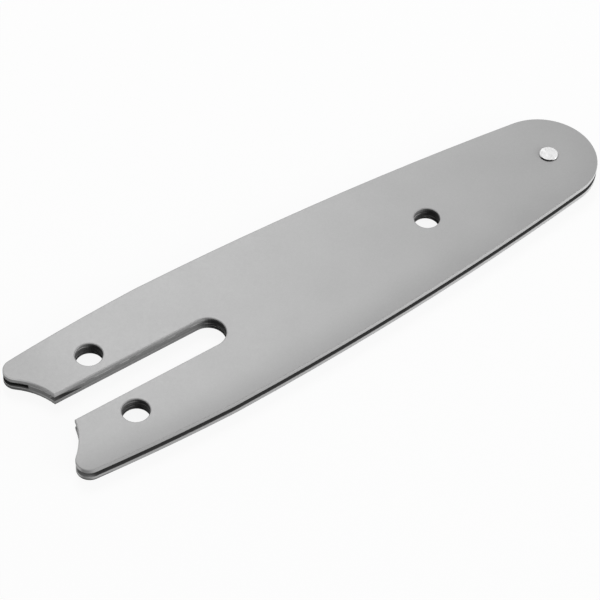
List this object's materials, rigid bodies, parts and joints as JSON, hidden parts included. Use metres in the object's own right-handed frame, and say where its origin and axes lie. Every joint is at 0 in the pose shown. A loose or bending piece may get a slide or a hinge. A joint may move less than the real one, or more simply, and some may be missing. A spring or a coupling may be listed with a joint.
{
  "type": "chainsaw guide bar",
  "caption": "Short laminated hard-nose guide bar for a small battery chainsaw, with an open stud slot, chain tensioner holes and a chain groove all round its edge.",
  "frame": {"origin": "on the stud slot's centre line, between the two tensioner holes and halfway through the bar's thickness", "axes": "+X along the bar towards its nose, +Y across it, +Z out of its upper face"},
  "size_m": [0.1509, 0.0394, 0.0042],
  "materials": {
    "side_plates": "smooth satin light grey coat on steel",
    "core": "plain grey steel, dark in the chain groove",
    "rivet": "bright, as formed and polished"
  },
  "bodies": {
    "root": {"upper_side_plate": "side_plates", "core_plate": "core", "lower_side_plate": "side_plates", "nose_rivet": "rivet"}
  },
  "joints": []
}
